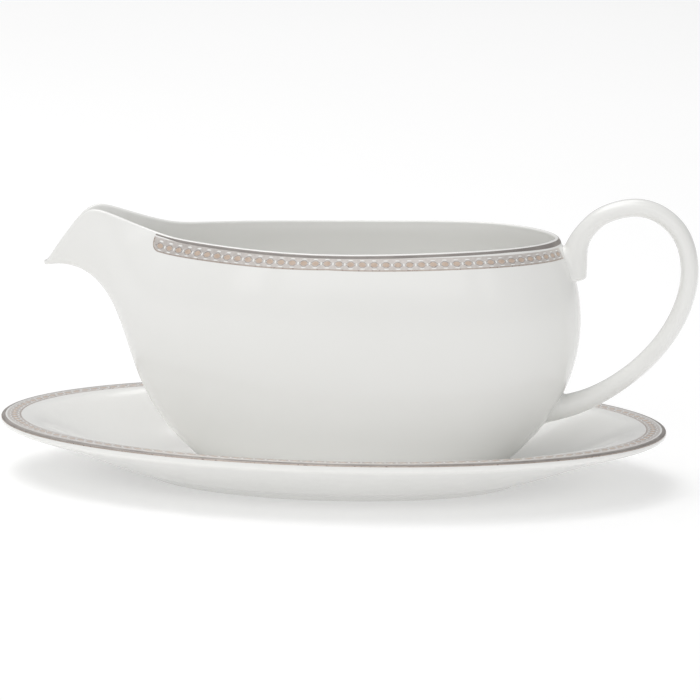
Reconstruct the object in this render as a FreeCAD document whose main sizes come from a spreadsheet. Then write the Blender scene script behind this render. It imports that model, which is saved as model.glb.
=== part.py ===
import FreeCAD, Part
import math
import os

Vector = FreeCAD.Vector

# A gravy boat on its oval stand. The frame is +Z up, +X towards the handle, -X towards the spout.
# The origin is the centre of the stand's foot ring, on the table. Millimetres and degrees.
DIMENSIONS = {
    # The stand's outline, and the inset of its foot ring from the rim at the two ends.
    "stand_length": 230.0,
    "stand_width": 160.0,
    "stand_height": 19.8,
    "side_inset_share": 0.72,
    "well_inset": 54.0,
    "well_floor": 4.0,
    "foot_inset": 51.5,
    "foot_flare": 3.0,
    "foot_width": 3.6,
    "foot_top": 2.2,
    # The boat's oval body: its half-length and half-width follow two arcs of ellipses over the height.
    "boat_offset": 6.3,
    "belly_half_length": 78.2,
    "belly_height": 56.4,
    "end_arc_height": 67.0,
    "belly_half_width": 43.3,
    "waist_height": 52.0,
    "side_arc_height": 76.4,
    "egg_share": 0.08,
    "shoulder_share": 0.045,
    "boat_base": 5.6,
    "boat_rim": 86.4,
    "rim_side_height": 83.5,
    "rim_slope": 1.72,
    "rim_bow": 3.14,
    "rim_skew": 1.47,
    "rim_ease": 1.95,
    "rim_end_lift": 0.7,
    "wall": 2.3,
    "lip_thickness": 1.4,
    "lip_taper": 0.06,
    "boat_floor": 8.0,
    # The spout is a bell-shaped lobe pulled out of the oval. Its lip climbs with the bell, and falls past the crest.
    "spout_start": 30.0,
    "spout_reach": 36.1,
    "spout_half_angle": 12.4,
    "spout_root_angle": 26.0,
    "lip_climb": 13.2,
    "lip_fall": 72.0,
    "lip_crest": 0.64,
    "lip_softness": 0.05,
    # The boat's foot ring.
    "boat_foot_length": 95.0,
    "boat_foot_breadth": 57.0,
    "boat_foot_width": 3.2,
    # The loop handle's section, and the section where each end spreads against the wall.
    "handle_depth": 6.1,
    "handle_breadth": 8.4,
    "upper_root_depth": 10.4,
    "upper_root_breadth": 11.2,
    "upper_root_reach": 10.5,
    "lower_root_depth": 9.8,
    "lower_root_breadth": 11.7,
    "lower_root_reach": 18.9,
    # The metallic lines and patterned transfers, thin layers fired on the glaze.
    "layer_gap": 0.06,
    "layer_thickness": 0.16,
    "line_start": -0.24,
    "line_width": 1.15,
    "band_start": 1.0,
    "band_width": 4.1,
    "decorated_angle": 155.2,
    "handle_gap_angle": 10.5,
    "stand_line_start": 0.7,
    "stand_line_width": 1.6,
    "stand_band_start": 3.0,
    "stand_band_width": 4.5,
}

STEP_FOLDER = "parts"
AROUND = 48  # points on each closed section of the boat
CROWDING = 0.6  # how much the section's points crowd towards the spout
SPOUT_PULL_POWER = 3.0  # how late up the wall the spout leaves the oval
SPOUT_DROP_POWER = 4.7  # how late up the wall the lip's rise and drop begin
TINY = 1.0e-3

doc = FreeCAD.newDocument("gravy_boat")
sheet = doc.addObject("Spreadsheet::Sheet", "Dimensions")
for row, (alias, value) in enumerate(DIMENSIONS.items(), start=1):
    sheet.set(f"A{row}", alias)
    sheet.set(f"B{row}", str(value))
    sheet.setAlias(f"B{row}", alias)
doc.recompute()


def size(alias):
    return float(sheet.get(alias))


# ---------------------------------------------------------------- the boat's outer surface


def half_size(widest, at_height, arc_height, height):
    """The half-size of the oval at a height: an arc of an ellipse about its widest height."""
    return widest * math.sqrt(1.0 - ((height - at_height) / arc_height) ** 2)


def spout_bell(angle, half_angle):
    """1 on the spout's centre line, falling to a half at half_angle degrees each side of it."""
    from_spout = math.degrees(math.remainder(angle - math.pi, 2.0 * math.pi))
    return 0.5 ** ((from_spout / half_angle) ** 2)


def lip_height(angle):
    """The height of the wall's top edge: lowest at the sides, raised at both ends, then the spout's curve."""
    ahead = math.cos(angle)
    rise = size("rim_slope") * ahead + size("rim_bow") * ahead**2
    rise -= size("rim_skew") * ahead**3 + size("rim_ease") * ahead**4
    rise += size("rim_end_lift") * max(0.0, ahead) ** 8
    bell = spout_bell(angle, size("spout_half_angle"))
    past_crest = (bell - size("lip_crest")) / size("lip_softness")
    fall = size("lip_softness") * math.log1p(math.exp(past_crest))
    return size("rim_side_height") + rise + size("lip_climb") * bell - size("lip_fall") * fall


def wall_point(angle, up):
    """A point on the boat's outside: angle in radians from the handle, up from 0 at the base to 1 at the lip."""
    base = size("boat_base")
    rim = size("boat_rim")
    height = base + (rim - base) * up
    half_length = half_size(size("belly_half_length"), size("belly_height"), size("end_arc_height"), height)
    half_width = half_size(size("belly_half_width"), size("waist_height"), size("side_arc_height"), height)
    spout_share = max(0.0, (height - size("spout_start")) / (rim - size("spout_start")))
    narrowing = size("spout_root_angle") - size("spout_half_angle")
    half_angle = size("spout_half_angle") + narrowing * max(0.0, 1.0 - spout_share)
    pull = size("spout_reach") * spout_share**SPOUT_PULL_POWER * spout_bell(angle, half_angle)
    lift = (lip_height(angle) - rim) * spout_share**SPOUT_DROP_POWER
    egg = size("egg_share") - size("shoulder_share") * math.cos(4.0 * angle)
    return Vector(
        size("boat_offset") + half_length * math.cos(angle) - pull,
        half_width * (1.0 + egg * math.cos(angle)) * math.sin(angle),
        height + lift,
    )


def wall_directions(angle, up):
    """The unit outward normal, and the tangent that points up the wall with its length per unit of up."""
    lower = min(up, 1.0 - TINY)
    climb = (wall_point(angle, lower + TINY) - wall_point(angle, lower)) / TINY
    turn = wall_point(angle + TINY, up) - wall_point(angle - TINY, up)
    outward = turn.cross(climb)
    outward.normalize()
    return outward, climb


def outside(angle, up, lift=0.0):
    outward, _ = wall_directions(angle, up)
    return wall_point(angle, up) + outward * lift


def inside(angle, up):
    """The wall's inner face: the wall thins towards the lip over the top share of its height."""
    down = min(1.0, (1.0 - up) / size("lip_taper"))
    thickening = (size("wall") - size("lip_thickness")) * down * (2.0 - down)
    return outside(angle, up, -size("lip_thickness") - thickening)


def over_the_lip(angle, turn):
    """A point on the rounded top of the wall; turn runs from 0 outside to 180 degrees inside."""
    outward, climb = wall_directions(angle, 1.0)
    climb.normalize()
    radius = size("lip_thickness") / 2.0
    across = outward * (-radius * (1.0 - math.cos(math.radians(turn))))
    return wall_point(angle, 1.0) + across + climb * (radius * math.sin(math.radians(turn)))


def section_angles():
    """Angles round the boat from the handle, closer together towards the spout."""
    steps = [2.0 * math.pi * index / AROUND for index in range(AROUND)]
    return [step + CROWDING * math.sin(step) for step in steps]


# How far up the wall each row of the skin's points lies, outside and inside, and round the lip in degrees.
OUTER_ROWS = (0.0, 0.06, 0.14, 0.24, 0.34, 0.44, 0.54, 0.63, 0.71, 0.78, 0.84, 0.89, 0.93, 0.965, 0.985, 1.0)
LIP_ROWS = (30.0, 60.0, 90.0, 120.0, 150.0)
FLOOR_ROW = 0.01


def skin_column(angle):
    """Points from the base, up the outside, over the lip and down the inside to the flat floor."""
    points = [outside(angle, up) for up in OUTER_ROWS]
    points += [over_the_lip(angle, turn) for turn in LIP_ROWS]
    points += [inside(angle, up) for up in reversed(OUTER_ROWS[1:])]
    at_floor = inside(angle, FLOOR_ROW)
    points.append(Vector(at_floor.x, at_floor.y, size("boat_floor")))
    return points


def boat_shell():
    """The cast wall, base and floor as one closed solid."""
    angles = section_angles() + [2.0 * math.pi]
    surface = Part.BSplineSurface()
    surface.interpolate([skin_column(angle) for angle in angles])
    skin = surface.toShape()
    rims = [edge for edge in skin.Edges if edge.isClosed()]
    caps = [Part.Face(Part.Wire([edge])) for edge in rims]
    sewn = Part.Compound([skin] + caps)
    sewn.sewShape()
    solid = Part.Solid(sewn.Shells[0])
    if solid.Volume < 0.0:
        solid.reverse()
    return solid


# ---------------------------------------------------------------- parametric helpers


def feature(kind, name, label=None, **properties):
    item = doc.addObject(kind, name)
    item.Label = label or name
    for key, value in properties.items():
        setattr(item, key, value)
    return item


def ellipse(name, half_length, half_width, height, offset="0"):
    """A level ellipse whose half-sizes, height and offset along X are expressions on the sheet."""
    item = feature("Part::Ellipse", name)
    item.setExpression("MajorRadius", half_length)
    item.setExpression("MinorRadius", half_width)
    item.setExpression("Placement.Base.x", offset)
    item.setExpression("Placement.Base.z", height)
    return item


def loft(name, sections):
    return feature("Part::Loft", name, Sections=sections, Solid=True, Ruled=False)


def cut(name, base, tool, label=None):
    return feature("Part::Cut", name, label, Base=base, Tool=tool)


# ---------------------------------------------------------------- the stand

# Rings of the dish as (inset from the rim at the ends, share of the height), from the underside, round the
# rolled edge and down the upper side towards the well. Insets at the sides are a share of those at the ends.
DISH_RINGS = (
    (48.5, 0.082),
    (41.0, 0.19),
    (33.5, 0.325),
    (25.5, 0.47),
    (17.0, 0.612),
    (9.0, 0.736),
    (3.6, 0.818),
    (1.0, 0.87),
    (0.1, 0.922),
    (0.3, 0.975),
    (1.1, 0.996),
    (3.8, 1.0),
    (9.0, 0.99),
    (17.0, 0.872),
    (25.5, 0.667),
    (33.5, 0.48),
    (41.0, 0.335),
    (47.5, 0.246),
)


def inset_ellipse(name, inset, height):
    """An ellipse inside the rim: inset and height are expressions on the sheet, in millimetres."""
    half_length = f"Dimensions.stand_length / 2 - ({inset})"
    half_width = f"Dimensions.stand_width / 2 - Dimensions.side_inset_share * ({inset})"
    return ellipse(name, half_length, half_width, height)


def make_dish():
    rings = []
    for index, (inset, share) in enumerate(DISH_RINGS):
        height = f"Dimensions.stand_height * {share}"
        rings.append(inset_ellipse(f"dish_ring_{index:02d}", str(inset), height))
    rings.append(inset_ellipse("dish_well", "Dimensions.well_inset", "Dimensions.well_floor"))
    return loft("dish", rings)


def make_stand(dish):
    """The dish, with the foot ring under it."""
    outer = loft(
        "foot_outside",
        [
            inset_ellipse("foot_bottom", "Dimensions.foot_inset", "0"),
            inset_ellipse(
                "foot_top", "Dimensions.foot_inset - Dimensions.foot_flare", "Dimensions.foot_top"
            ),
        ],
    )
    hollow_inset = "Dimensions.foot_inset + Dimensions.foot_width"
    hollow = loft(
        "foot_inside",
        [
            inset_ellipse("hollow_bottom", hollow_inset, "-1"),
            inset_ellipse("hollow_top", hollow_inset, "Dimensions.foot_top + 1"),
        ],
    )
    ring = cut("foot_ring", outer, hollow)
    return feature("Part::MultiFuse", "stand_fuse", "stand", Shapes=[dish, ring])


def even_ellipse(name, inset, height):
    """An ellipse the same distance inside the rim all round."""
    half_length = f"Dimensions.stand_length / 2 - ({inset})"
    half_width = f"Dimensions.stand_width / 2 - ({inset})"
    return ellipse(name, half_length, half_width, height)


def make_stand_layer(name, label, dish, start, width):
    """A thin layer on the upper side of the rim, between two insets: the dish raised, less the dish."""
    raised = feature("Part::Feature", f"{name}_raised")
    raised.Shape = dish.Shape.copy()
    raised.Placement.Base = Vector(0.0, 0.0, size("layer_thickness"))
    outer = loft(
        f"{name}_outer",
        [
            even_ellipse(f"{name}_outer_low", start, "Dimensions.stand_height / 2"),
            even_ellipse(f"{name}_outer_high", start, "Dimensions.stand_height + 2"),
        ],
    )
    inner_inset = f"{start} + {width}"
    inner = loft(
        f"{name}_inner",
        [
            even_ellipse(f"{name}_inner_low", inner_inset, "Dimensions.stand_height / 2 - 1"),
            even_ellipse(f"{name}_inner_high", inner_inset, "Dimensions.stand_height + 3"),
        ],
    )
    tube = cut(f"{name}_tube", outer, inner)
    slice_ = feature("Part::Common", f"{name}_slice", Base=raised, Tool=tube)
    return cut(f"{name}_layer", slice_, dish, label)


# ---------------------------------------------------------------- the boat


def make_boat_body():
    shell = feature("Part::Feature", "boat_shell")
    shell.Shape = boat_shell()
    shell.Placement = FreeCAD.Placement()
    half_length = "Dimensions.boat_foot_length / 2"
    half_width = "Dimensions.boat_foot_breadth / 2"
    wide = "Dimensions.boat_foot_width"
    offset = "Dimensions.boat_offset"
    bottom = "Dimensions.well_floor"
    outer = loft(
        "boat_foot_outside",
        [
            ellipse("boat_foot_low", f"{half_length} - 0.6", f"{half_width} - 0.6", bottom, offset),
            ellipse("boat_foot_high", half_length, half_width, "Dimensions.boat_base + 0.6", offset),
        ],
    )
    inner = loft(
        "boat_foot_inside",
        [
            ellipse("boat_hollow_low", f"{half_length} - {wide}", f"{half_width} - {wide}", f"{bottom} - 1", offset),
            ellipse(
                "boat_hollow_high",
                f"{half_length} - {wide} - 1",
                f"{half_width} - {wide} - 1",
                "Dimensions.boat_base + 1",
                offset,
            ),
        ],
    )
    ring = cut("boat_foot_ring", outer, inner)
    return feature("Part::MultiFuse", "boat_body_fuse", "boat_body", Shapes=[shell, ring])


def make_core():
    """An oval plug whose surface runs through the middle of the wall, to trim the handle's hidden ends."""
    rings = []
    for index, share in enumerate((0.12, 0.25, 0.4, 0.55, 0.7, 0.85, 1.0)):
        height = f"(Dimensions.boat_base + (Dimensions.boat_rim - Dimensions.boat_base) * {share})"
        half_length = (
            f"Dimensions.belly_half_length * sqrt(1 - (({height} - Dimensions.belly_height)"
            f" / Dimensions.end_arc_height)^2) - Dimensions.wall / 2"
        )
        half_width = (
            f"Dimensions.belly_half_width * sqrt(1 - (({height} - Dimensions.waist_height)"
            f" / Dimensions.side_arc_height)^2) - Dimensions.wall / 2"
        )
        rings.append(ellipse(f"core_ring_{index}", half_length, half_width, height, "Dimensions.boat_offset"))
    return loft("core", rings)


# The handle's centre line in the XZ plane: up from the upper root, round the loop and in to the lower root.
HANDLE_LINE = (
    (80.9, 73.2),
    (81.4, 77.8),
    (82.9, 84.4),
    (86.1, 89.5),
    (91.4, 94.3),
    (101.6, 97.3),
    (110.8, 95.2),
    (118.5, 88.0),
    (121.5, 76.6),
    (119.9, 64.9),
    (114.7, 53.5),
    (106.5, 43.3),
    (97.0, 35.5),
    (88.3, 30.4),
    (80.8, 27.2),
    (73.6, 24.8),
    (68.0, 23.1),
)
HANDLE_SECTIONS = 26


def handle_curve():
    curve = Part.BSplineCurve()
    curve.interpolate(Points=[Vector(x, 0.0, z) for x, z in HANDLE_LINE])
    return curve


def handle_size(middle, upper, lower, from_start, from_end):
    """A half-size that swells towards both roots, as an expression; the distances are in millimetres."""
    upper_swell = f"1 / exp(({from_start:.3f} / Dimensions.upper_root_reach)^2)"
    lower_swell = f"1 / exp(({from_end:.3f} / Dimensions.lower_root_reach)^2)"
    plain = f"Dimensions.{middle}"
    above = f"(Dimensions.{upper} - {plain}) * {upper_swell}"
    below = f"(Dimensions.{lower} - {plain}) * {lower_swell}"
    return f"({plain} + {above} + {below}) / 2"


def make_handle(core, boat_body):
    curve = handle_curve()
    whole = curve.length()
    sections = []
    for index in range(HANDLE_SECTIONS):
        along = whole * index / (HANDLE_SECTIONS - 1)
        at = curve.parameterAtDistance(along, curve.FirstParameter)
        tangent = Vector(*curve.tangent(at)[0])
        item = feature("Part::Ellipse", f"handle_section_{index:02d}")
        breadth = ("handle_breadth", "upper_root_breadth", "lower_root_breadth")
        depth = ("handle_depth", "upper_root_depth", "lower_root_depth")
        item.setExpression("MajorRadius", handle_size(*breadth, along, whole - along))
        item.setExpression("MinorRadius", handle_size(*depth, along, whole - along))
        across = Vector(0.0, 1.0, 0.0)
        turned = FreeCAD.Rotation(across, tangent.cross(across), tangent, "ZXY")
        item.Placement = FreeCAD.Placement(curve.value(at), turned)
        sections.append(item)
    loop = loft("handle_loop", sections)
    outside_part = cut("handle_outside_core", loop, core)
    return cut("handle_trimmed", outside_part, boat_body, "boat_handle")


# ---------------------------------------------------------------- the boat's fired-on layers

STRIP_STEP = 5.0  # degrees between a layer's sections


def strip_section(angle, start, width):
    """A thin flat rectangle across a layer, from start to start + width below the lip, down the wall."""
    _, climb = wall_directions(angle, 1.0)
    up = 1.0 - (start + width / 2.0) / climb.Length
    outward, climb = wall_directions(angle, up)
    climb.normalize()
    middle = wall_point(angle, up)
    near = size("layer_gap")
    far = near + size("layer_thickness")
    corners = ((near, -1.0), (near, 1.0), (far, 1.0), (far, -1.0))
    points = [middle + outward * lift + climb * (side * width / 2.0) for lift, side in corners]
    return Part.makePolygon(points + points[:1])


def strip(first_angle, last_angle, start, width):
    count = max(2, round(abs(last_angle - first_angle) / STRIP_STEP))
    sections = []
    for index in range(count + 1):
        degrees = first_angle + (last_angle - first_angle) * index / count
        sections.append(strip_section(math.radians(degrees), size(start), size(width)))
    return Part.makeLoft(sections, True, False)


def make_layer(label, first_angle, last_angle, start, width):
    layer = feature("Part::Feature", f"{label}_layer", label)
    layer.Shape = strip(first_angle, last_angle, start, width)
    layer.Placement = FreeCAD.Placement()
    return layer


# ---------------------------------------------------------------- the whole set

dish = make_dish()
stand = make_stand(dish)
doc.recompute()
stand_line = make_stand_layer(
    "stand_line", "stand_rim_line", dish, "Dimensions.stand_line_start", "Dimensions.stand_line_width"
)
stand_band = make_stand_layer(
    "stand_pattern", "stand_band", dish, "Dimensions.stand_band_start", "Dimensions.stand_band_width"
)
boat_body = make_boat_body()
boat_handle = make_handle(make_core(), boat_body)
decorated = size("decorated_angle")
handle_gap = size("handle_gap_angle")
rim_line = make_layer("boat_rim_line", -decorated, decorated, "line_start", "line_width")
band_front = make_layer("boat_band_front", -decorated, -handle_gap, "band_start", "band_width")
band_back = make_layer("boat_band_back", handle_gap, decorated, "band_start", "band_width")
doc.recompute()

for item in doc.Objects:
    if {"Invalid", "Error"} & set(item.State):
        raise RuntimeError(f"{item.Label} failed: {item.State}")

os.makedirs(STEP_FOLDER, exist_ok=True)
for item in (stand, stand_line, stand_band, boat_body, boat_handle, rim_line, band_front, band_back):
    if item.Shape.isNull() or not item.Shape.isValid():
        raise RuntimeError(f"{item.Label} has no valid shape")
    print(item.Label, len(item.Shape.Solids), "solids,", round(item.Shape.Volume, 1), "mm3")
    item.Shape.exportStep(f"{STEP_FOLDER}/{item.Label}.step")
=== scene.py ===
import math

import bmesh
import bpy
from mathutils import Matrix, Vector
from mathutils.bvhtree import BVHTree


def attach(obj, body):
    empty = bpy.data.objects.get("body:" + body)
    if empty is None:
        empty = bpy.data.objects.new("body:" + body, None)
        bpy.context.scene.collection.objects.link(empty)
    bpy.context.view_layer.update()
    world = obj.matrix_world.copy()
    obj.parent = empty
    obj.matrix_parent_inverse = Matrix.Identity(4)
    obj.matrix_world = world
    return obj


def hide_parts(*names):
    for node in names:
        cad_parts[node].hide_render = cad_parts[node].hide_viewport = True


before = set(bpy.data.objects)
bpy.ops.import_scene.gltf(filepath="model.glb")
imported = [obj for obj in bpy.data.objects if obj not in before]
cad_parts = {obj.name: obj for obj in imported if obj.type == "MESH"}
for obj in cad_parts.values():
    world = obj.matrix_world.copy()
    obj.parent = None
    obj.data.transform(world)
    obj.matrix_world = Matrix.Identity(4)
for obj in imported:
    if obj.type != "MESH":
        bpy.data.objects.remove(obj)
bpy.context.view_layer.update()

# Shapes are worked out in millimetres in the frame of the CAD, and turned into metres when a mesh is made.
MM = 0.001

# ---------------------------------------------------------------- meshes


def new_piece(name, points, faces, material, body, slot, replaces=(), crease=40.0):
    """A smooth mesh from points in millimetres, which rides on a body and takes the given material. The slot
    is not used.
    """
    mesh = bpy.data.meshes.new(name)
    mesh.from_pydata([point * MM for point in points], [], faces)
    tidy = bmesh.new()
    tidy.from_mesh(mesh)
    bmesh.ops.recalc_face_normals(tidy, faces=tidy.faces)
    tidy.to_mesh(mesh)
    tidy.free()
    mesh.shade_smooth()
    mesh.set_sharp_from_angle(angle=math.radians(crease))
    mesh.materials.append(material)
    piece = bpy.data.objects.new(name, mesh)
    bpy.context.scene.collection.objects.link(piece)
    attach(piece, body)
    if replaces:
        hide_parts(*replaces)
    return piece


class Shape:
    """Points and faces that grow ring by ring."""

    def __init__(self):
        self.points = []
        self.faces = []

    def ring(self, points):
        start = len(self.points)
        self.points += points
        return list(range(start, len(self.points)))

    def join(self, low, high):
        """Quads between two closed rings of the same length."""
        count = len(low)
        for index in range(count):
            after = (index + 1) % count
            self.faces.append((low[index], low[after], high[after], high[index]))

    def fan(self, ring, pole):
        """Triangles from a closed ring to one point."""
        (tip,) = self.ring([pole])
        for index in range(len(ring)):
            self.faces.append((ring[index], ring[(index + 1) % len(ring)], tip))

    def cap(self, ring):
        self.faces.append(tuple(ring))

    def tube(self, sections, closed=False):
        """Closed sections joined one to the next, and the last to the first or both ends capped."""
        rings = [self.ring(section) for section in sections]
        for low, high in zip(rings, rings[1:]):
            self.join(low, high)
        if closed:
            self.join(rings[-1], rings[0])
        else:
            self.cap(rings[0])
            self.cap(rings[-1])


def mix(low, high, share):
    return low + (high - low) * share


def smooth_step(low, high, value):
    share = min(1.0, max(0.0, (value - low) / (high - low)))
    return share * share * (3.0 - 2.0 * share)


# ---------------------------------------------------------------- the boat's wall

BOAT_OFFSET = 6.3
BASE, RIM = 5.6, 86.4
WALL, LIP = 2.3, 1.4  # the wall's thickness, and that of the lip
LIP_TAPER = 0.06
EGG = 0.08  # how much wider the oval is towards the handle, and narrower towards the spout
SHOULDER = 0.045  # how much squarer its shoulders are by the handle, and flatter by the spout
# The lip's thickness at the spout's tip, and the degrees to either side at which half of the extra is left.
SPOUT_LIP, SPOUT_LIP_SPREAD = 1.9, 20.0
FLOOR = 8.0
BELLY_HALF_LENGTH, BELLY_HEIGHT, END_ARC_HEIGHT = 78.2, 56.4, 67.0
BELLY_HALF_WIDTH, WAIST_HEIGHT, SIDE_ARC_HEIGHT = 43.3, 52.0, 76.4
# The lip's height is a curve in the cosine of the angle, with one number for each of its powers.
SIDE_HEIGHT, SLOPE, BOW, SKEW, EASE, END_LIFT = 83.5, 1.72, 3.14, 1.47, 1.95, 0.7
LIP_CLIMB, LIP_FALL, LIP_CREST, LIP_SOFTNESS = 13.2, 73.2, 0.64, 0.05
SPOUT_START, SPOUT_REACH = 30.0, 36.1
SPOUT_HALF_ANGLE, SPOUT_ROOT_EXTRA = 12.4, 13.6  # degrees at the lip, and how much wider at the spout's root


def half_size(widest, at_height, arc_height, height):
    return widest * math.sqrt(1.0 - ((height - at_height) / arc_height) ** 2)


def spout_bell(angle, half_angle):
    from_spout = math.degrees(math.remainder(angle - math.pi, 2.0 * math.pi))
    return 0.5 ** ((from_spout / half_angle) ** 2)


def lip_height(angle):
    """The height of the lip: lowest at the sides, raised at both ends, then the spout's crest and fall."""
    ahead = math.cos(angle)
    rise = SLOPE * ahead + BOW * ahead**2 - SKEW * ahead**3 - EASE * ahead**4
    rise += END_LIFT * max(0.0, ahead) ** 8
    bell = spout_bell(angle, SPOUT_HALF_ANGLE)
    fall = LIP_SOFTNESS * math.log1p(math.exp((bell - LIP_CREST) / LIP_SOFTNESS))
    return SIDE_HEIGHT + rise + LIP_CLIMB * bell - LIP_FALL * fall


def wall_point(angle, up):
    """A point on the boat's outside: radians from the handle, and up from 0 at the base to 1 at the lip."""
    height = BASE + (RIM - BASE) * up
    half_length = half_size(BELLY_HALF_LENGTH, BELLY_HEIGHT, END_ARC_HEIGHT, height)
    half_width = half_size(BELLY_HALF_WIDTH, WAIST_HEIGHT, SIDE_ARC_HEIGHT, height)
    spout_share = max(0.0, (height - SPOUT_START) / (RIM - SPOUT_START))
    half_angle = SPOUT_HALF_ANGLE + SPOUT_ROOT_EXTRA * max(0.0, 1.0 - spout_share)
    pull = SPOUT_REACH * spout_share**3.0 * spout_bell(angle, half_angle)
    lift = (lip_height(angle) - RIM) * spout_share**4.7
    x = BOAT_OFFSET + half_length * math.cos(angle) - pull
    egg = 1.0 + (EGG - SHOULDER * math.cos(4.0 * angle)) * math.cos(angle)
    return Vector((x, half_width * egg * math.sin(angle), height + lift))


def lip_thickness(angle):
    return mix(LIP, SPOUT_LIP, spout_bell(angle, SPOUT_LIP_SPREAD))


def wall_directions(angle, up, step=1.0e-3):
    """The outward normal, and the tangent up the wall with its length per unit of up."""
    lower = min(up, 1.0 - step)
    climb = (wall_point(angle, lower + step) - wall_point(angle, lower)) / step
    turn = wall_point(angle + step, up) - wall_point(angle - step, up)
    return turn.cross(climb).normalized(), climb


def inside_point(angle, up):
    """The inner face, which levels out smoothly into the boat's floor."""
    outward, _ = wall_directions(angle, up)
    down = min(1.0, (1.0 - up) / LIP_TAPER)
    point = wall_point(angle, up) - outward * mix(lip_thickness(angle), WALL, down * (2.0 - down))
    above = (point.z - FLOOR) / 1.4
    point.z = FLOOR + 1.4 * math.log1p(math.exp(above)) if above < 20.0 else point.z
    return point


def rim_point(angle, below, lift):
    """A point below millimetres down the wall from the lip's outer edge; less than 0 is over the lip."""
    outward, climb = wall_directions(angle, 1.0)
    if below < 0.0:
        radius = lip_thickness(angle) / 2.0
        turn = -below / radius
        away = outward * math.cos(turn) + climb.normalized() * math.sin(turn)
        return wall_point(angle, 1.0) - outward * radius + away * (radius + lift)
    up = 1.0 - below / climb.length
    outward, _ = wall_directions(angle, up)
    return wall_point(angle, up) + outward * lift


DECORATED = 154.6  # degrees from the handle to the spout's root, where the boat's line and bands end
HANDLE_GAP = 9.5  # degrees from the handle's middle to the end of each band
BAND_HEIGHT = 4.4
BAND_CORNER = 2.6  # the radius of the lower corner by the spout
BAND_LEAN = 1.8  # degrees by which the band's upper edge starts nearer the spout than its lower edge
LEAN_START = 135.0  # degrees from the handle where the lean sets in
BAND_DROP, END_DROP_EXTRA = 0.35, 2.0  # how far under the lip the band starts, and how much more at the ends
HIGHEST_AT, DROP_SPAN, DROP_POWER = 95.0, 85.0, 0.85
SPOUT_RISE, SPOUT_RISE_END = 0.9, 140.0  # how far the band's upper edge climbs back towards the spout


def boat_band_point(angle, across, lift):
    """The printed band lies lower under the lip towards both ends, and its end by the spout leans."""
    degrees = abs(math.degrees(angle))
    lean = BAND_LEAN * smooth_step(LEAN_START, DECORATED, degrees) * (1.0 - across / BAND_HEIGHT)
    drop = BAND_DROP + END_DROP_EXTRA * (abs(HIGHEST_AT - degrees) / DROP_SPAN) ** DROP_POWER
    drop -= SPOUT_RISE * smooth_step(HIGHEST_AT, SPOUT_RISE_END, degrees) * (1.0 - across / BAND_HEIGHT) ** 3
    return rim_point(angle + math.copysign(math.radians(lean), angle), across + drop, lift)


def boat_angles(count):
    steps = [2.0 * math.pi * index / count for index in range(count)]
    return [step + 0.6 * math.sin(step) for step in steps]


# The boat's foot ring, from the middle of the base outwards: half-length, half-width and height.
BOAT_FOOT = (
    (30.0, 14.0, 5.6),
    (43.4, 24.4, 5.6),
    (44.1, 25.1, 5.3),
    (44.4, 25.4, 4.5),
    (44.9, 25.9, 4.08),
    (45.6, 26.6, 4.0),
    (46.2, 27.2, 4.08),
    (46.8, 27.8, 4.5),
    (47.2, 28.2, 5.1),
    (48.0, 29.0, 5.45),
    (49.5, 30.3, 5.53),
)
AROUND = 288
WALL_ROWS = 72
LIP_ROWS = 10


def make_boat(china):
    """The cast body: foot ring, wall, rounded lip, inside and floor in one closed skin."""
    angles = boat_angles(AROUND)
    shape = Shape()
    rings = []
    for half_length, half_width, height in BOAT_FOOT:
        ring = [(BOAT_OFFSET + half_length * math.cos(a), half_width * math.sin(a), height) for a in angles]
        rings.append([Vector(place) for place in ring])
    ups = [1.0 - (1.0 - index / WALL_ROWS) ** 1.25 for index in range(WALL_ROWS + 1)]
    rings += [[wall_point(a, up) for a in angles] for up in ups]
    for row in range(1, LIP_ROWS):
        share = math.pi / 2.0 * row / LIP_ROWS
        rings.append([rim_point(a, -share * lip_thickness(a), 0.0) for a in angles])
    rings += [[inside_point(a, up) for a in angles] for up in reversed(ups)]
    for share in (0.9, 0.7, 0.4):
        last = [inside_point(a, 0.0) for a in angles]
        rings.append([Vector((mix(BOAT_OFFSET, p.x, share), p.y * share, FLOOR)) for p in last])
    made = [shape.ring(ring) for ring in rings]
    for low, high in zip(made, made[1:]):
        shape.join(low, high)
    shape.fan(made[0], Vector((BOAT_OFFSET, 0.0, BASE)))
    shape.fan(made[-1], Vector((BOAT_OFFSET, 0.0, FLOOR)))
    return new_piece("boat_china", shape.points, shape.faces, china, "boat", "china", ["boat_body"], 60.0)


# ---------------------------------------------------------------- the handle

# The handle's centre line in the XZ plane, from the upper root round the loop to the lower root.
HANDLE_LINE = (
    (80.9, 73.2),
    (81.4, 77.8),
    (82.9, 84.4),
    (86.1, 89.5),
    (91.4, 94.3),
    (101.6, 97.3),
    (110.8, 95.2),
    (118.5, 88.0),
    (121.5, 76.6),
    (119.9, 64.9),
    (114.7, 53.5),
    (106.5, 43.3),
    (97.0, 35.5),
    (88.3, 30.4),
    (80.8, 27.6),
    (73.6, 25.9),
    (70.5, 25.2),
)
HANDLE_STEPS = 14  # points between two places of the centre line
HANDLE_AROUND = 56
HANDLE_DEPTHS = (6.1, 10.4, 8.4)  # plain, at the upper root and at the lower root
HANDLE_BREADTHS = (8.4, 11.2, 11.7)
UPPER_REACH, LOWER_REACH = 10.5, 18.9  # how far along the handle each root's swelling reaches
FULLNESS = 0.92  # under 1 makes the strap's section fuller than an ellipse
END_INSET, END_DROP = 3.4, 1.7  # how the upper end is rounded off
FILLET = 1.5
DEEPEST = 0.9  # how deep in the wall the handle's hidden ends lie


def catmull_rom(before, start, end, after, share):
    square, cube = share * share, share * share * share
    line = start * 2.0 + (end - before) * share
    bend = before * 2.0 - start * 5.0 + end * 4.0 - after
    twist = start * 3.0 - before - end * 3.0 + after
    return (line + bend * square + twist * cube) * 0.5


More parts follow.
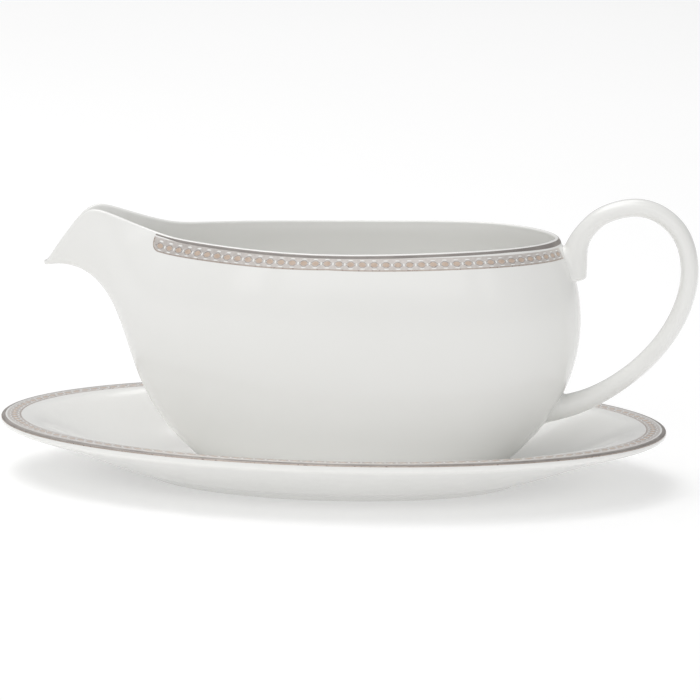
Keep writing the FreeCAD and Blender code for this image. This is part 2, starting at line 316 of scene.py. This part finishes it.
def smooth_line(places, steps, rounds):
    """Points along a curve through the places, evened out so that its curvature changes gently."""
    ends = [places[0] * 2.0 - places[1]] + list(places) + [places[-1] * 2.0 - places[-2]]
    points = []
    for index in range(len(places) - 1):
        four = ends[index : index + 4]
        points += [catmull_rom(*four, step / steps) for step in range(steps)]
    points.append(places[-1])
    for _ in range(rounds):
        middle = [(a + b * 2.0 + c) * 0.25 for a, b, c in zip(points, points[1:], points[2:])]
        points = [points[0]] + middle + [points[-1]]
    return points


def handle_half(plain, upper, lower, from_start, from_end):
    upper_swell = (upper - plain) * math.exp(-((from_start / UPPER_REACH) ** 2))
    lower_swell = (lower - plain) * math.exp(-((from_end / LOWER_REACH) ** 2))
    return (plain + upper_swell + lower_swell) / 2.0


def handle_section(middle, tangent, depth, breadth):
    """A rounded strap section: a little fuller than an ellipse across its width."""
    side = Vector((0.0, 1.0, 0.0))
    out = side.cross(tangent).normalized()
    points = []
    for index in range(HANDLE_AROUND):
        turn = 2.0 * math.pi * index / HANDLE_AROUND
        across = math.copysign(abs(math.cos(turn)) ** FULLNESS, math.cos(turn))
        through = math.copysign(abs(math.sin(turn)) ** FULLNESS, math.sin(turn))
        points.append(middle + side * (breadth * across) + out * (depth * through))
    return points


def make_handle(china, boat):
    """The loop handle; near the wall each section spreads, so that it meets the body in a soft fillet."""
    outside_faces = (len(BOAT_FOOT) + WALL_ROWS) * AROUND
    body = BVHTree.FromPolygons(
        [vertex.co / MM for vertex in boat.data.vertices],
        [tuple(face.vertices) for face in boat.data.polygons[:outside_faces]],
    )
    line = smooth_line([Vector((x, 0.0, z)) for x, z in HANDLE_LINE], HANDLE_STEPS, 40)
    travelled = [0.0]
    for before, after in zip(line, line[1:]):
        travelled.append(travelled[-1] + (after - before).length)
    sections = []
    for index, middle in enumerate(line):
        tangent = (line[min(index + 1, len(line) - 1)] - line[max(index - 1, 0)]).normalized()
        from_start, from_end = travelled[index], travelled[-1] - travelled[index]
        depth = handle_half(*HANDLE_DEPTHS, from_start, from_end)
        breadth = handle_half(*HANDLE_BREADTHS, from_start, from_end)
        sections.append((middle, handle_section(middle, tangent, depth, breadth)))
    middle, root = sections[0]
    down = (line[0] - line[1]).normalized()
    rounding = []
    for share in (0.2, 0.4, 0.6, 0.8, 0.93, 1.0):
        inset = END_INSET * (1.0 - math.sqrt(1.0 - share * share))
        drop = down * (END_DROP * share)
        rounding.append((middle + drop, [p + drop + (middle - p).normalized() * inset for p in root]))
    shape = Shape()
    made = []
    for middle, section in list(reversed(rounding)) + sections:
        spread = []
        for point in section:
            near, normal, _, _ = body.find_nearest(point)
            height = (point - near).dot(normal)
            if height < FILLET:
                reach = FILLET - max(0.0, height)
                push = FILLET - math.sqrt(FILLET**2 - reach**2)
                near, normal, _, _ = body.find_nearest(point + (point - middle).normalized() * push)
                point = near + normal * max(height, -DEEPEST)
            spread.append(point)
        made.append(shape.ring(spread))
    for low, high in zip(made, made[1:]):
        shape.join(low, high)
    for end in (made[0], made[-1]):
        centre = sum((shape.points[index] for index in end), Vector()) / len(end)
        near, normal, _, _ = body.find_nearest(centre)
        shape.fan(end, near - normal * DEEPEST)
    return new_piece(
        "boat_loop_handle", shape.points, shape.faces, china, "boat", "china", ["boat_handle"], 60.0
    )


# ---------------------------------------------------------------- the stand

STAND_LENGTH, STAND_WIDTH = 230.0, 160.0
SIDE_INSET_SHARE = 0.72
# Distances up and in from the rolled edge's widest place: first the platinum line's, then those of a tan
# strip of painted reflection just outside it.
STAND_LINE, STAND_PAINTED_REFLECTION = (1.05, 2.5), (0.72, 0.99)
STAND_BAND_START, STAND_BAND_HEIGHT = 3.1, 4.9
# The stand's profile as insets from the rim at the ends, and heights: the foot ring and the underside first,
# then round the rolled edge, and down the upper side to the well.
UNDER_PROFILE = (
    (57.0, 1.62),
    (55.9, 1.58),
    (55.3, 1.2),
    (55.05, 0.5),
    (54.6, 0.08),
    (53.8, 0.0),
    (52.3, 0.0),
    (51.6, 0.1),
    (50.9, 0.55),
    (49.6, 1.3),
    (47.3, 2.15),
    (44.5, 2.95),
    (41.0, 3.76),
    (33.5, 6.44),
    (25.5, 9.31),
    (17.0, 12.12),
    (9.0, 14.57),
    (3.6, 16.20),
    (1.0, 17.23),
    (0.1, 18.26),
)
UPPER_PROFILE = (
    (0.1, 18.26),
    (0.3, 19.3),
    (1.1, 19.75),
    (2.5, 19.8),
    (6.0, 19.78),
    (10.5, 19.5),
    (13.5, 18.75),
    (17.5, 17.1),
    (25.5, 13.2),
    (33.5, 9.5),
    (41.0, 6.63),
    (47.5, 4.87),
    (54.0, 4.0),
)
PROFILE_STEPS = 6
STAND_AROUND = 288


def stand_ellipse(angle, inset, height):
    half_length = STAND_LENGTH / 2.0 - inset
    half_width = STAND_WIDTH / 2.0 - SIDE_INSET_SHARE * inset
    return Vector((half_length * math.cos(angle), half_width * math.sin(angle), height))


def profile_points(profile, rounds):
    line = smooth_line([Vector((inset, 0.0, height)) for inset, height in profile], PROFILE_STEPS, rounds)
    return [(point.x, point.z) for point in line]


def make_stand(china):
    angles = [2.0 * math.pi * index / STAND_AROUND for index in range(STAND_AROUND)]
    profile = profile_points(UNDER_PROFILE, 2) + profile_points(UPPER_PROFILE, 2)[1:]
    shape = Shape()
    made = []
    for share in (0.45, 0.8):
        ring = [stand_ellipse(a, *UNDER_PROFILE[0]) for a in angles]
        made.append(shape.ring([Vector((p.x * share, p.y * share, p.z)) for p in ring]))
    made += [shape.ring([stand_ellipse(a, inset, height) for a in angles]) for inset, height in profile]
    for share in (0.94, 0.75, 0.45):
        ring = [stand_ellipse(a, *UPPER_PROFILE[-1]) for a in angles]
        made.append(shape.ring([Vector((p.x * share, p.y * share, p.z)) for p in ring]))
    for low, high in zip(made, made[1:]):
        shape.join(low, high)
    shape.fan(made[0], Vector((0.0, 0.0, UNDER_PROFILE[0][1])))
    shape.fan(made[-1], Vector((0.0, 0.0, UPPER_PROFILE[-1][1])))
    return new_piece("stand_china", shape.points, shape.faces, china, "stand", "china", ["stand"], 60.0)


class StandRim:
    """The upper side of the rim, by the true distance in from the edge."""

    def __init__(self):
        self.profile = profile_points(UPPER_PROFILE, 2)
        self.lengths = [0.0]
        for (inset, height), (next_inset, next_height) in zip(self.profile, self.profile[1:]):
            self.lengths.append(self.lengths[-1] + math.hypot(next_inset - inset, next_height - height))

    def at(self, angle, along):
        index = 1
        while index < len(self.lengths) - 1 and self.lengths[index] < along:
            index += 1
        low, high = self.lengths[index - 1], self.lengths[index]
        share = (along - low) / (high - low)
        inset = mix(self.profile[index - 1][0], self.profile[index][0], share)
        height = mix(self.profile[index - 1][1], self.profile[index][1], share)
        return stand_ellipse(angle, inset, height)

    def point(self, angle, inward, lift):
        normal_x, normal_y = math.cos(angle) / STAND_LENGTH, math.sin(angle) / STAND_WIDTH
        size = math.hypot(normal_x, normal_y)
        rate = (math.cos(angle) * normal_x + SIDE_INSET_SHARE * math.sin(angle) * normal_y) / size
        along = inward / rate
        place = self.at(angle, along)
        turn = self.at(angle + 1.0e-3, along) - self.at(angle - 1.0e-3, along)
        inwards = self.at(angle, along + 0.4) - self.at(angle, max(0.0, along - 0.4))
        return place + turn.cross(inwards).normalized() * lift

    def band_point(self, angle, across, lift):
        return self.point(angle, STAND_BAND_START + across, lift)


# ---------------------------------------------------------------- the printed bands


class Track:
    """A band's surface by distance along it and distance in from its edge, both in millimetres."""

    def __init__(self, point, first_angle, last_angle, middle, closed=False, steps=900):
        self.point = point
        self.closed = closed
        self.angles = [mix(first_angle, last_angle, index / steps) for index in range(steps + 1)]
        places = [point(angle, middle, 0.0) for angle in self.angles]
        self.travelled = [0.0]
        for before, after in zip(places, places[1:]):
            self.travelled.append(self.travelled[-1] + (after - before).length)
        self.length = self.travelled[-1]

    def angle(self, along):
        low, high = 0, len(self.travelled) - 1
        while high - low > 1:
            half = (low + high) // 2
            if self.travelled[half] <= along:
                low = half
            else:
                high = half
        share = (along - self.travelled[low]) / (self.travelled[high] - self.travelled[low])
        return mix(self.angles[low], self.angles[high], share)

    def place(self, along, across, lift):
        return self.point(self.angle(along), across, lift)


SUNK = -0.03  # how deep a layer's hidden edge lies in the glaze


def ribbon(shape, track, path, width, lift, closed=False):
    """A thin raised ribbon along a path of (along, across) on the track."""
    count = len(path)
    sections = []
    for index, (along, across) in enumerate(path):
        before = path[(index - 1) % count] if closed or index else path[0]
        after = path[(index + 1) % count] if closed or index < count - 1 else path[-1]
        run, climb = after[0] - before[0], after[1] - before[1]
        if closed and abs(run) > track.length / 2.0:
            run += math.copysign(track.length, -run)
        size = math.hypot(run, climb) or 1.0
        side = (-climb / size, run / size)
        section = []
        left = ((-0.5, SUNK), (-0.5, 0.6 * lift), (-0.3, lift))
        right = ((0.3, lift), (0.5, 0.6 * lift), (0.5, SUNK))
        for offset, height in left + right:
            shift = offset * width
            section.append(track.place(along + side[0] * shift, across + side[1] * shift, height))
        sections.append(section)
    shape.tube(sections, closed)


def dome(shape, track, along, across, half_along, half_across, lift, point_power=1.0, around=14):
    """A low dome on the track: an oval, or a lens with pointed ends where point_power is over 1."""
    rings = []
    for share, height in ((1.0, SUNK), (0.97, 0.45 * lift), (0.75, 0.85 * lift), (0.4, lift)):
        ring = []
        for index in range(around):
            turn = 2.0 * math.pi * index / around
            sine = math.sin(turn)
            rise = math.copysign(abs(sine) ** point_power, sine)
            ring.append(
                track.place(
                    along + half_along * share * math.cos(turn), across + half_across * share * rise, height
                )
            )
        rings.append(shape.ring(ring))
    for low, high in zip(rings, rings[1:]):
        shape.join(low, high)
    shape.fan(rings[-1], track.place(along, across, lift * 1.03))
    shape.cap(rings[0])


PITCH = 4.0
# The lustre ground's section: the share of the way across the band, and the height over the glaze.
GROUND_ROWS = (
    (0.0, SUNK),
    (0.01, 0.02),
    (0.05, 0.04),
    (0.35, 0.04),
    (0.65, 0.04),
    (0.95, 0.04),
    (0.99, 0.02),
    (1.0, SUNK),
)
# Half sizes of the motifs: along the band as a share of the pitch, then across it; and the height.
BEAD, BEAD_LIFT = (0.3, 0.8), 0.11
DOT, DOT_LIFT = (0.1, 0.5), 0.1
LENS, LENS_LIFT = (0.23, 0.24), 0.08
LENS_POINT = 1.7  # over 1 makes the ends pointed
LENS_PLACE = 1.37  # how far each row of lenses lies from the band's middle
CHAIN_NEAR, CHAIN_SWING = 0.08, 0.92  # how near the middle the chain's lines come, and how far they swing
LINE_LIFT, CHAIN_WIDTH, BORDER_WIDTH = 0.07, 0.2, 0.34
BORDER_PLACE = 0.3  # how far the border line lies in from the band's edge


def print_band(name, track, body, replaced, height, materials, along_steps, corner=0.0):
    """The repeating border: a lustre ground, beige beads with white dots between, white lenses and a chain.

    Across the band, 0 is its upper or outer edge, and height its lower or inner one."""
    start = 0.0 if track.closed else 1.2
    end = track.length - (0.0 if track.closed else 0.8)
    top, bottom = 0.0, height
    middle = height / 2.0
    ground = Shape()
    sections = []
    for index in range(along_steps + (0 if track.closed else 1)):
        along = track.length * index / along_steps
        round_off = max(0.0, corner - along)
        lowest = bottom - (corner - math.sqrt(max(0.0, corner**2 - round_off**2))) if corner else bottom
        lowest = max(lowest, top + 0.4)
        sections.append([track.place(along, mix(top, lowest, share), lift) for share, lift in GROUND_ROWS])
    ground.tube(sections, track.closed)
    new_piece(f"{name}_ground", ground.points, ground.faces, materials["ground"], body, "pattern", [replaced])

    count = round((end - start) / PITCH)
    pitch = (end - start) / count
    beads, dots, lenses = Shape(), Shape(), Shape()
    for index in range(count):
        along = start + pitch * (index + 0.5)
        dome(beads, track, along, middle, pitch * BEAD[0], BEAD[1], BEAD_LIFT)
        for place in (middle - LENS_PLACE, middle + LENS_PLACE):
            dome(lenses, track, along, place, pitch * LENS[0], LENS[1], LENS_LIFT, LENS_POINT, 12)
        if track.closed or index:
            dome(dots, track, along - pitch * 0.5, middle, pitch * DOT[0], DOT[1], DOT_LIFT, 1.0, 12)
    new_piece(f"{name}_beads", beads.points, beads.faces, materials["bead"], body, "pattern")
    new_piece(f"{name}_dots", dots.points, dots.faces, materials["enamel"], body, "pattern")
    new_piece(f"{name}_lenses", lenses.points, lenses.faces, materials["enamel"], body, "pattern")

    chain = Shape()
    samples = count * 14
    for side in (-1.0, 1.0):
        path = []
        for index in range(samples + (0 if track.closed else 1)):
            share = index / samples
            swing = math.sin(math.pi * count * share) ** 2
            path.append((mix(start, end, share), middle + side * (CHAIN_NEAR + CHAIN_SWING * swing)))
        ribbon(chain, track, path, CHAIN_WIDTH, LINE_LIFT, track.closed)
    new_piece(f"{name}_chain", chain.points, chain.faces, materials["chain"], body, "pattern")

    border = Shape()
    edge = BORDER_PLACE
    path = []
    if corner:
        path += [(edge, mix(top + edge, bottom - corner, share / 4.0)) for share in range(4)]
        turns = 10
        for index in range(turns + 1):
            turn = math.pi / 2.0 * index / turns
            radius = corner - edge
            path.append((corner - radius * math.cos(turn), bottom - corner + radius * math.sin(turn)))
    first = corner if corner else 0.0
    for index in range(0 if track.closed or not corner else 1, along_steps + (0 if track.closed else 1)):
        path.append((mix(first, track.length, index / along_steps), bottom - edge))
    ribbon(border, track, path, BORDER_WIDTH, LINE_LIFT, track.closed)
    new_piece(f"{name}_border", border.points, border.faces, materials["border"], body, "pattern")


LINE_TOP = -0.05  # the boat's line starts just over the lip's outer edge
LINE_WIDTH, LINE_WIDTH_HANDLE, LINE_WIDTH_SPOUT = 0.92, 1.7, 0.5  # at the sides and towards either end


def make_boat_line(platinum):
    """The platinum line under the lip's edge, broader towards the handle."""
    shape = Shape()
    sections = []
    rows = ((0.0, SUNK), (0.02, 0.05), (0.1, 0.075), (0.5, 0.08), (0.9, 0.075), (0.98, 0.05), (1.0, SUNK))
    count = 300
    for index in range(count + 1):
        degrees = mix(-DECORATED - BAND_LEAN, DECORATED + BAND_LEAN, index / count)
        angle = math.radians(degrees)
        handle_end = 1.0 - smooth_step(12.0, 42.0, abs(degrees))
        spout_end = smooth_step(DECORATED - 11.0, DECORATED, abs(degrees))
        bottom = mix(mix(LINE_WIDTH, LINE_WIDTH_HANDLE, handle_end), LINE_WIDTH_SPOUT, spout_end)
        sections.append([rim_point(angle, mix(LINE_TOP, bottom, share), lift) for share, lift in rows])
    shape.tube(sections)
    made = shape.points, shape.faces
    new_piece("boat_platinum_line", *made, platinum, "boat", "platinum", ["boat_rim_line"])


def make_stand_line(name, rim, material, slot, outer, inner, replaced=()):
    """A line on the stand's rolled edge, between two distances up and in from the edge's widest place; it
    also draws the tan strip of painted reflection outside the platinum line.
    """
    shape = Shape()
    sections = []
    count, steps = 288, 18
    rows = [(outer - 0.03, SUNK)]
    rows += [(mix(outer, inner, step / steps), 0.05) for step in range(steps + 1)]
    rows.append((inner + 0.03, SUNK))
    for index in range(count):
        angle = 2.0 * math.pi * index / count
        sections.append([rim.point(angle, inward, lift) for inward, lift in rows])
    shape.tube(sections, True)
    new_piece(name, shape.points, shape.faces, material, "stand", slot, replaced)


# ---------------------------------------------------------------- materials


def principled(name, settings):
    """A node material with its plain settings on the shader, and the nodes and shader to build on."""
    material = bpy.data.materials.new(name)
    material.use_nodes = True
    nodes, links = material.node_tree.nodes, material.node_tree.links
    shader = nodes["Principled BSDF"]
    for key, value in settings.items():
        shader.inputs[key].default_value = value
    place = nodes.new("ShaderNodeTexCoord")
    return material, nodes, links, shader, place


def noise(nodes, links, place, scale, detail=3.0):
    texture = nodes.new("ShaderNodeTexNoise")
    texture.inputs["Scale"].default_value = scale
    texture.inputs["Detail"].default_value = detail
    links.new(place.outputs["Object"], texture.inputs["Vector"])
    return texture.outputs["Fac"]


def vary(nodes, links, source, target, low, high):
    """Maps a noise onto a range of values or between two colours, into a socket."""
    if isinstance(low, tuple):
        ramp = nodes.new("ShaderNodeValToRGB")
        ramp.color_ramp.elements[0].position = 0.3
        ramp.color_ramp.elements[1].position = 0.7
        ramp.color_ramp.elements[0].color = (*low, 1.0)
        ramp.color_ramp.elements[1].color = (*high, 1.0)
        links.new(source, ramp.inputs["Fac"])
        links.new(ramp.outputs["Color"], target)
        return
    spread = nodes.new("ShaderNodeMapRange")
    spread.inputs["From Min"].default_value = 0.3
    spread.inputs["From Max"].default_value = 0.7
    spread.inputs["To Min"].default_value = low
    spread.inputs["To Max"].default_value = high
    links.new(source, spread.inputs["Value"])
    links.new(spread.outputs["Result"], target)


def bump(nodes, links, source, shader, strength, distance):
    relief = nodes.new("ShaderNodeBump")
    relief.inputs["Strength"].default_value = strength
    relief.inputs["Distance"].default_value = distance
    links.new(source, relief.inputs["Height"])
    links.new(relief.outputs["Normal"], shader.inputs["Normal"])


def china_material():
    """White bone china under a clear gloss glaze: hardly any tint, with a faint unevenness of the glaze."""
    settings = {"Metallic": 0.0, "IOR": 1.5, "Coat Weight": 0.35, "Coat Roughness": 0.08}
    material, nodes, links, shader, place = principled("china_glaze", settings)
    broad = noise(nodes, links, place, 14.0)
    vary(nodes, links, broad, shader.inputs["Base Color"], (0.885, 0.883, 0.860), (0.900, 0.898, 0.878))
    fine = noise(nodes, links, place, 90.0, 4.0)
    vary(nodes, links, fine, shader.inputs["Roughness"], 0.17, 0.24)
    ripple = noise(nodes, links, place, 45.0, 2.0)
    bump(nodes, links, ripple, shader, 0.12, 0.0002)
    return material


def platinum_material():
    """Burnished platinum, brushed on by hand along the edge."""
    settings = {"Metallic": 0.7}
    material, nodes, links, shader, place = principled("platinum_burnished", settings)
    broad = noise(nodes, links, place, 120.0)
    vary(nodes, links, broad, shader.inputs["Base Color"], (0.31, 0.285, 0.27), (0.41, 0.38, 0.36))
    fine = noise(nodes, links, place, 700.0)
    vary(nodes, links, fine, shader.inputs["Roughness"], 0.5, 0.62)
    bump(nodes, links, fine, shader, 0.25, 0.00004)
    return material


def print_material(name, low, high, metallic, rough, coat=0.3):
    """One colour of the printed band, with the fine grain of the print."""
    settings = {"Metallic": metallic, "Coat Weight": coat, "Coat Roughness": 0.12}
    material, nodes, links, shader, place = principled(name, settings)
    grain = noise(nodes, links, place, 900.0)
    vary(nodes, links, grain, shader.inputs["Base Color"], low, high)
    vary(nodes, links, grain, shader.inputs["Roughness"], rough * 0.85, rough * 1.2)
    bump(nodes, links, grain, shader, 0.2, 0.00003)
    return material


# ---------------------------------------------------------------- the object

china = china_material()
platinum = platinum_material()
band_materials = {
    "ground": print_material("lustre_ground", (0.60, 0.56, 0.53), (0.70, 0.66, 0.635), 0.35, 0.34),
    "bead": print_material("beige_print", (0.55, 0.42, 0.33), (0.65, 0.53, 0.44), 0.1, 0.4),
    "enamel": print_material("white_enamel", (0.84, 0.84, 0.82), (0.90, 0.90, 0.88), 0.0, 0.3),
    "chain": print_material("grey_lustre_line", (0.36, 0.33, 0.32), (0.48, 0.45, 0.44), 0.6, 0.3),
    # The tan line colour also paints the strip of painted reflection on the stand's rolled edge.
    "border": print_material("tan_lustre_line_and_painted_reflection", (0.44, 0.36, 0.31), (0.55, 0.47, 0.42), 0.5, 0.3),
}

boat = make_boat(china)
make_handle(china, boat)
make_boat_line(platinum)
for side, direction in (("front", -1.0), ("back", 1.0)):
    first, last = direction * math.radians(DECORATED), direction * math.radians(HANDLE_GAP)
    track = Track(boat_band_point, first, last, BAND_HEIGHT / 2.0)
    replaced = f"boat_band_{side}"
    print_band(f"{replaced}_print", track, "boat", replaced, BAND_HEIGHT, band_materials, 240, BAND_CORNER)
make_stand(china)
rim = StandRim()
make_stand_line("stand_platinum_line", rim, platinum, "platinum", *STAND_LINE, ["stand_rim_line"])
# A tan strip of painted reflection along the rolled edge, just outside the platinum line.
make_stand_line("stand_painted_reflection", rim, band_materials["border"], "pattern", *STAND_PAINTED_REFLECTION)
stand_track = Track(rim.band_point, 0.0, 2.0 * math.pi, STAND_BAND_HEIGHT / 2.0, True)
print_band("stand_band_print", stand_track, "stand", "stand_band", STAND_BAND_HEIGHT, band_materials, 360)

# ---------------------------------------------------------------- floor, light and camera


def make_floor():
    settings = {"Roughness": 0.9, "Emission Color": (1.0, 1.0, 1.0, 1.0), "Emission Strength": 0.26}
    material, nodes, links, shader, place = principled("pale_floor", settings)
    grain = noise(nodes, links, place, 3.0)
    vary(nodes, links, grain, shader.inputs["Base Color"], (0.78, 0.78, 0.78), (0.79, 0.79, 0.79))
    mesh = bpy.data.meshes.new("floor")
    half = 6.0
    corners = [(-half, -half, 0.0), (half, -half, 0.0), (half, half, 0.0), (-half, half, 0.0)]
    mesh.from_pydata(corners, [], [(0, 1, 2, 3)])
    mesh.materials.append(material)
    floor = bpy.data.objects.new("floor", mesh)
    bpy.context.scene.collection.objects.link(floor)


def area_light(name, place, target, width, height, power, colour=(1.0, 1.0, 1.0)):
    data = bpy.data.lights.new(name, "AREA")
    data.shape = "RECTANGLE"
    data.size, data.size_y = width, height
    data.energy = power
    data.color = colour
    lamp = bpy.data.objects.new(name, data)
    lamp.location = place
    lamp.rotation_mode = "QUATERNION"
    lamp.rotation_quaternion = (Vector(target) - Vector(place)).to_track_quat("-Z", "Y")
    bpy.context.scene.collection.objects.link(lamp)


def make_light():
    world = bpy.data.worlds.new("studio")
    world.use_nodes = True
    background = world.node_tree.nodes["Background"]
    background.inputs["Color"].default_value = (1.0, 1.0, 1.0, 1.0)
    background.inputs["Strength"].default_value = 0.46
    bpy.context.scene.world = world
    centre = (0.0, 0.0, 0.05)
    area_light("overhead", (-0.4, -0.3, 1.8), centre, 1.6, 1.2, 10.0)
    area_light("overhead_back", (-0.5, 1.0, 1.8), (0.0, 0.8, 0.0), 2.4, 1.2, 13.5)
    area_light("front", (0.0, -2.8, 1.4), centre, 3.4, 1.8, 14.0)
    area_light("left_box", (-1.2, -1.3, 0.7), centre, 0.35, 0.8, 0.8)
    area_light("right_box", (1.2, -1.3, 0.7), centre, 0.35, 0.8, 0.6)


CAMERA_DISTANCE = 2.2
CAMERA_TARGET = Vector((0.00535, 0.0, 0.0446))
CAMERA_ELEVATION, CAMERA_YAW, CAMERA_ROLL = math.radians(10.06), math.radians(4.0), math.radians(1.08)
FRAME_WIDTH = 0.241  # what the frame spans at the object


def make_camera():
    right = Vector((math.cos(CAMERA_YAW), math.sin(CAMERA_YAW), 0.0))
    level = Vector((-math.sin(CAMERA_YAW), math.cos(CAMERA_YAW), 0.0))
    forward = level * math.cos(CAMERA_ELEVATION) - Vector((0.0, 0.0, math.sin(CAMERA_ELEVATION)))
    up = right.cross(forward)
    rolled_right = right * math.cos(CAMERA_ROLL) + up * math.sin(CAMERA_ROLL)
    rolled_up = up * math.cos(CAMERA_ROLL) - right * math.sin(CAMERA_ROLL)
    data = bpy.data.cameras.new("camera")
    data.sensor_width = 36.0
    data.lens = data.sensor_width * CAMERA_DISTANCE / FRAME_WIDTH
    data.clip_start, data.clip_end = 0.1, 50.0
    camera = bpy.data.objects.new("camera", data)
    turned = Matrix((rolled_right, rolled_up, -forward)).transposed()
    camera.rotation_mode = "QUATERNION"
    camera.rotation_quaternion = turned.to_quaternion()
    camera.location = CAMERA_TARGET - forward * CAMERA_DISTANCE
    bpy.context.scene.collection.objects.link(camera)
    bpy.context.scene.camera = camera


make_floor()
make_light()
make_camera()
bpy.context.scene.view_settings.view_transform = "Standard"
